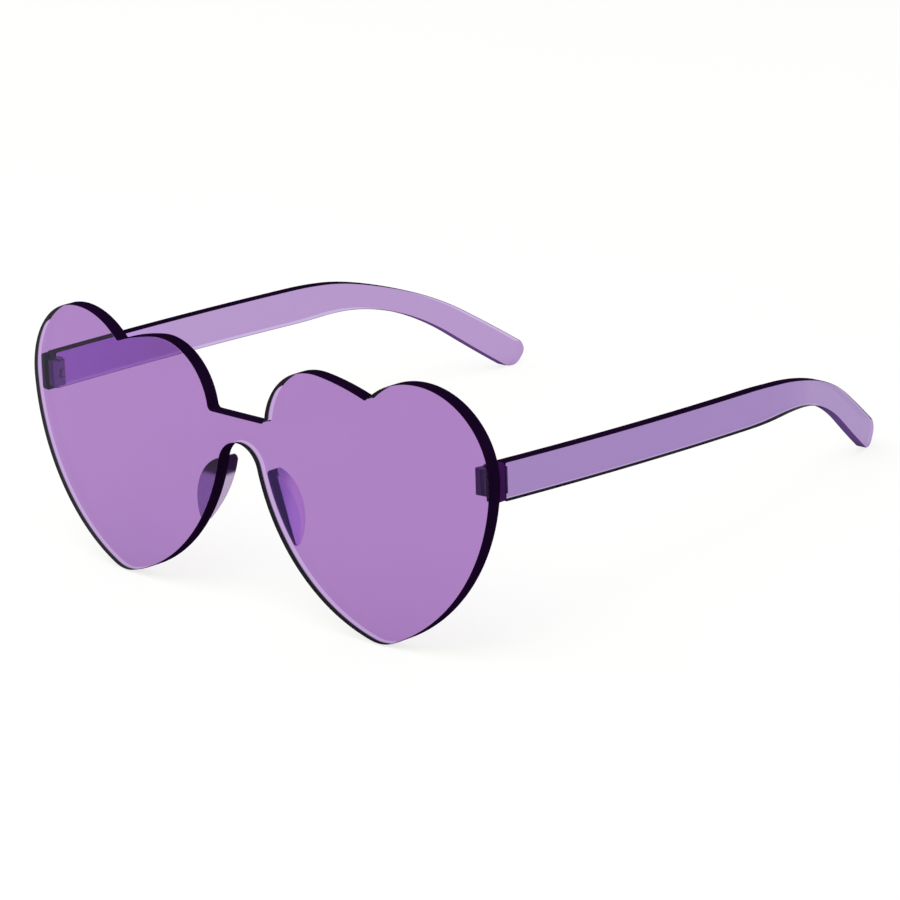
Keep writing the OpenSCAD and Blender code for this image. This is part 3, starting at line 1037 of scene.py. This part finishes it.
# Each pad is one clear purple plastic; the tones of its crown, nose wall and foot, set per part and per side,
# are painted light and shade. Left pad: the near-black nose wall is a painted dark strip, and the crown
# lightens outwards as painted light. Right pad: above PAD_SHADE_AT every part goes over to a painted shade
# cap.
PAD_SHADE_AT = (27.0, 28.4)
PAD = {
    Side.LEFT: [
        PadPlastic(
            "pad_crown_left",
            (0.42, 0.3, 0.62),
            (0.4, 0.29, 0.6),
            shade=(0.86, 0.68, 0.97),
            shade_along=Axis.X,
            shade_at=(8.0, 13.0),
        ),
        PadPlastic("pad_wall_left", (0.005, 0.0006, 0.02), (0.003, 0.0004, 0.014), roughness=0.03),
        PadPlastic("pad_foot_left", (0.6, 0.44, 0.93)),
    ],
    Side.RIGHT: [
        PadPlastic("pad_crown_right", (0.22, 0.135, 0.29), shade_at=PAD_SHADE_AT),
        PadPlastic("pad_wall_right", (0.95, 0.93, 0.97), shade_at=PAD_SHADE_AT),
        PadPlastic("pad_foot_right", (0.71, 0.7, 0.98), shade_at=PAD_SHADE_AT),
    ],
}
# The end piece's dark opaque purple is partly the deep dye of a thick moulding and partly painted shade for
# the shadows inside it.
BLOCK = Finish("block_moulding", (0.045, 0.009, 0.08), (0.03, 0.006, 0.055), roughness=0.35, specular=0.0)
# One tinted metal on both hinges: the darker left copy and the lighter right copy are painted shade and
# painted light for the different light on each hinge.
METAL = {
    Side.LEFT: HingeMetal("hinge_metal_left", (0.084, 0.042, 0.126), (0.12, 0.06, 0.18)),
    Side.RIGHT: HingeMetal("hinge_metal_right", (0.182, 0.105, 0.28), (0.26, 0.15, 0.4)),
}


@dataclass
class LensPlate:
    """The one-piece plate with both heart lenses."""

    outline: HeartOutline = HeartOutline()
    thickness: float = 3.4
    bend_r: float = 610.0
    strip: float = 2.5
    # Lens walls that face up past dark_from keep their painted shade whole, with no pale line from inside.
    dark_from: float = 0.62

    def build(self, finishes: Finishes, rest: Rest) -> bpy.types.Object:
        """Builds the plate and puts it in place of its node.

        Args:
            finishes: The finishes made so far.
            rest: How the glasses lie.

        Returns:
            The dressed plate.
        """
        half = self.thickness / 2
        sheet = CutSheet(
            self.outline.edges(),
            self.thickness,
            Bend(self.bend_r - half),
            self.strip,
            dark_from=self.dark_from,
        )
        place = rest.matrix() @ Matrix.Translation((0, half, 0))
        face, wall = finishes.of(LENS_FACE), finishes.of(LENS_WALL)
        piece = sheet.build("lens_plate_dressed", place, face, wall)
        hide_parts("lens_plate")
        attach(piece, "front")
        return piece


@dataclass
class Temple:
    """A temple of one side: a flat strip that drops behind the ear and turns in to the head."""

    side: Side
    outline: TempleOutline = TempleOutline()
    thickness: float = 2.8
    middle_x: float = 70.2
    start_y: float = 9.56047
    start_z: float = 40.2303
    bend: Bend = Bend(bow_r=735.0, bow_reach=81.934, turn_r=67.0, turn_deg=16.5, splay_deg=4.5)
    strip: float = 3.0

    def build(self, finishes: Finishes, rest: Rest) -> bpy.types.Object:
        """Builds the temple and puts it in place of its node.

        Args:
            finishes: The finishes made so far.
            rest: How the glasses lie.

        Returns:
            The dressed temple.
        """
        sheet = CutSheet(self.outline.edges(), self.thickness, self.bend, self.strip, self.outline.tip_way)
        mirror = Matrix.Scale(self.side.value, 4, (1, 0, 0))
        shift = Matrix.Translation((self.middle_x, self.start_y, self.start_z))
        turn = Matrix(((0, -1, 0, 0), (1, 0, 0, 0), (0, 0, 1, 0), (0, 0, 0, 1)))
        name = f"temple_{self.side.word}"
        piece = sheet.build(
            name + "_dressed",
            rest.matrix() @ mirror @ shift @ turn,
            finishes.of(TEMPLE_FACE[self.side]),
            finishes.of(TEMPLE_WALL[self.side]),
            finishes.of(TEMPLE_END),
        )
        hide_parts(name)
        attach(piece, f"{self.side.word}_arm")
        return piece


@dataclass(frozen=True)
class SoftCopy:
    """A smooth copy of a small CAD solid with softened edges; lengths in millimetres."""

    node: str
    round_r: float
    back: float = 0.0
    weld: float = 0.002
    flat_angle: float = 0.002
    sharp_deg: float = 30.0
    segments: int = 3

    def build(self) -> bpy.types.Object:
        """Copies the solid, joins its flat facets and rounds its edges.

        Returns:
            The piece, with a live bevel.
        """
        name = self.node + "_dressed"
        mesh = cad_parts[self.node].data.copy()
        mesh.name = name
        bm = bmesh.new()
        bm.from_mesh(mesh)
        bmesh.ops.remove_doubles(bm, verts=bm.verts, dist=self.weld * MM)
        bmesh.ops.dissolve_limit(bm, angle_limit=self.flat_angle, verts=bm.verts, edges=bm.edges)
        bmesh.ops.recalc_face_normals(bm, faces=bm.faces)
        bmesh.ops.translate(bm, verts=bm.verts, vec=(0, self.back * MM, 0))
        bm.to_mesh(mesh)
        bm.free()
        mesh.materials.clear()
        mesh.shade_smooth()
        piece = bpy.data.objects.new(name, mesh)
        bpy.context.collection.objects.link(piece)
        bevel = piece.modifiers.new("Soft edges", "BEVEL")
        bevel.width = self.round_r * MM
        bevel.segments = self.segments
        bevel.limit_method = "ANGLE"
        bevel.angle_limit = math.radians(self.sharp_deg)
        bevel.harden_normals = True
        return piece


@dataclass
class Fittings:
    """The small pieces of one side: nose pad, end piece and hinge."""

    side: Side
    glue_gap: float = 0.03
    moulded_r: float = 0.15
    metal_r: float = 0.1
    screw_r: float = 0.04
    foot_y: float = -0.8
    wall_y: float = 0.5
    wall_nose: float = 0.3
    low_wall_nose: float = -0.4
    low_wall_z: float = -0.3

    def pad_part(self, normal: Vector) -> PadPart:
        """Which part of the pad a face belongs to.

        Args:
            normal: The face's normal.

        Returns:
            The glued foot, the wall towards the nose and the floor, or the crown with the outer wall.
        """
        if normal.y < self.foot_y:
            return PadPart.FOOT
        nose_way = -normal.x * self.side.value
        low = nose_way > self.low_wall_nose and normal.z < self.low_wall_z
        is_wall = normal.y < self.wall_y and (nose_way > self.wall_nose or low)
        return PadPart.NOSE_WALL if is_wall else PadPart.CROWN

    def build(self, finishes: Finishes) -> list[bpy.types.Object]:
        """Builds each piece over its node.

        Args:
            finishes: The finishes made so far.

        Returns:
            The dressed pieces.
        """
        side, arm = self.side.word, f"{self.side.word}_arm"
        pad, block, metal = PAD[self.side], [BLOCK], [METAL[self.side]]
        plan = [
            (SoftCopy(f"nose_pad_{side}", self.moulded_r, self.glue_gap), pad, "front", "pad_clear"),
            (SoftCopy(f"end_piece_{side}", self.moulded_r, self.glue_gap), block, "front", "temple_tint"),
            (SoftCopy(f"hinge_leaf_{side}", self.metal_r), metal, "front", "hinge_steel"),
            (SoftCopy(f"hinge_screw_{side}", self.screw_r), metal, "front", "hinge_steel"),
            (SoftCopy(f"temple_knuckle_{side}", self.metal_r), metal, arm, "hinge_steel"),
        ]
        pieces = []
        for copy, coats, body, slot in plan:
            piece = copy.build()
            for coat in coats:
                piece.data.materials.append(finishes.of(coat))
            for face in piece.data.polygons:
                face.material_index = self.pad_part(face.normal) if coats is pad else 0
            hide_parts(copy.node)
            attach(piece, body)
            pieces.append(piece)
        return pieces


@dataclass(frozen=True)
class PhotoCamera:
    """The photograph's camera in the worn frame, in degrees and millimetres from the hearts' middle."""

    azimuth: float = 44.597
    elevation: float = 16.664
    roll: float = -1.783
    distance: float = 946.429
    offset: Point2 = (-46.266, -3.626)
    heart_mid_z: float = 32.3
    focal_px: float = 4345.503
    photo_px: float = 900.0
    sensor: float = 36.0
    clip: Span = (0.01, 50.0)

    def place(self, rest: Rest) -> None:
        """Adds the camera at the photograph's viewpoint.

        Args:
            rest: How the glasses lie.
        """
        az, el, roll = (math.radians(v) for v in (self.azimuth, self.elevation, self.roll))
        back = Vector((math.sin(az) * math.cos(el), -math.cos(az) * math.cos(el), math.sin(el)))
        level_right = Vector((math.cos(az), math.sin(az), 0))
        level_up = back.cross(level_right)
        right = math.cos(roll) * level_right + math.sin(roll) * level_up
        up = -math.sin(roll) * level_right + math.cos(roll) * level_up
        spot = back * self.distance - right * self.offset[0] - up * self.offset[1]
        spot += Vector((0, 0, self.heart_mid_z))
        turn = rest.matrix().to_3x3().normalized()
        axes = Matrix((turn @ right, turn @ up, turn @ back)).transposed()
        data = bpy.data.cameras.new("photo_view")
        data.sensor_width = self.sensor
        data.lens = self.sensor * self.focal_px / self.photo_px
        data.clip_start, data.clip_end = self.clip
        camera = bpy.data.objects.new("photo_view", data)
        camera.matrix_world = Matrix.Translation(rest.matrix() @ spot) @ axes.to_4x4()
        bpy.context.collection.objects.link(camera)
        bpy.context.scene.camera = camera


@dataclass(frozen=True)
class Lamp:
    """A soft square lamp that looks at the glasses; lengths in metres, power in watts."""

    name: str
    spot: Point3
    size: float
    power: float
    target: Point3 = (0.0, -0.03, 0.03)

    def build(self) -> None:
        """Puts up the lamp."""
        data = bpy.data.lights.new(self.name, "AREA")
        data.size = self.size
        data.energy = self.power
        lamp = bpy.data.objects.new(self.name, data)
        aim = (Vector(self.spot) - Vector(self.target)).to_track_quat("Z", "Y")
        lamp.matrix_world = Matrix.Translation(self.spot) @ aim.to_matrix().to_4x4()
        bpy.context.collection.objects.link(lamp)


@dataclass(frozen=True)
class Studio:
    """Pale floor, white surroundings and soft lamps."""

    floor_half: float = 3.0
    floor_grain: float = 30.0
    floor_white: Span = (0.93, 0.95)
    floor_glow: float = 0.8
    white: Colour = (0.99, 0.99, 0.975)
    sky: float = 0.75
    lamps: tuple[Lamp, ...] = (
        Lamp("lamp_over", (0.15, -0.35, 0.9), 0.8, 5.0),
        Lamp("lamp_side", (-0.8, -0.3, 0.5), 0.6, 2.0),
    )

    @staticmethod
    def seen(kit: NodeKit) -> Socket:
        """Marks what the camera sees directly, mirrored or through clear plastic.


        Returns:
            1 for what is seen so, 0 for what only lights.
        """
        path = kit.add("ShaderNodeLightPath").outputs
        first = kit.math("MAXIMUM", path["Is Camera Ray"], path["Is Glossy Ray"])
        return kit.math("MAXIMUM", first, path["Is Transmission Ray"])

    def floor(self) -> None:
        """Lays the floor under the glasses."""
        mesh = bpy.data.meshes.new("studio_floor")
        h = self.floor_half
        mesh.from_pydata([(-h, -h, 0), (h, -h, 0), (h, h, 0), (-h, h, 0)], [], [(0, 1, 2, 3)])
        paper = bpy.data.materials.new("studio_floor")
        kit = NodeKit.shader(paper)
        noise = kit.add("ShaderNodeTexNoise", Scale=self.floor_grain).outputs["Fac"]
        matt = kit.add("ShaderNodeBsdfDiffuse", Color=kit.spread(noise, (0.0, 1.0), self.floor_white))
        glow = kit.add("ShaderNodeEmission", Color=self.white, Strength=1.0)
        share = kit.math("MULTIPLY", self.seen(kit), self.floor_glow)
        kit.add("ShaderNodeOutputMaterial", Surface=kit.shaders(share, matt.outputs[0], glow.outputs[0]))
        mesh.materials.append(paper)
        floor = bpy.data.objects.new("studio_floor", mesh)
        bpy.context.collection.objects.link(floor)

    def sky_world(self) -> None:
        """Puts up the surroundings: white where seen, a plain level for what they light."""
        world = bpy.data.worlds.new("studio_white")
        kit = NodeKit.shader(world)
        level = kit.spread(self.seen(kit), (0.0, 1.0), (self.sky, 1.0))
        back = kit.add("ShaderNodeBackground", Color=self.white, Strength=level)
        kit.add("ShaderNodeOutputWorld", Surface=back.outputs[0])
        bpy.context.scene.world = world

    def build(self) -> None:
        """Puts up the floor, the surroundings and the lamps."""
        self.floor()
        self.sky_world()
        for lamp in self.lamps:
            lamp.build()
        bpy.context.scene.view_settings.view_transform = "Standard"


def main() -> None:
    """Builds every piece, dresses it and sets up the studio."""
    logging.basicConfig(level=logging.INFO, format="%(name)s: %(message)s")
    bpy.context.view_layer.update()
    rest = Rest()
    finishes = Finishes()
    pieces = [LensPlate().build(finishes, rest)]
    for side in Side:
        pieces.append(Temple(side).build(finishes, rest))
        pieces.extend(Fittings(side).build(finishes))
    for piece in pieces:
        LOG.info("%s: %d faces", piece.name, len(piece.data.polygons))
    PhotoCamera().place(rest)
    Studio().build()


if __name__ == "__main__":
    main()
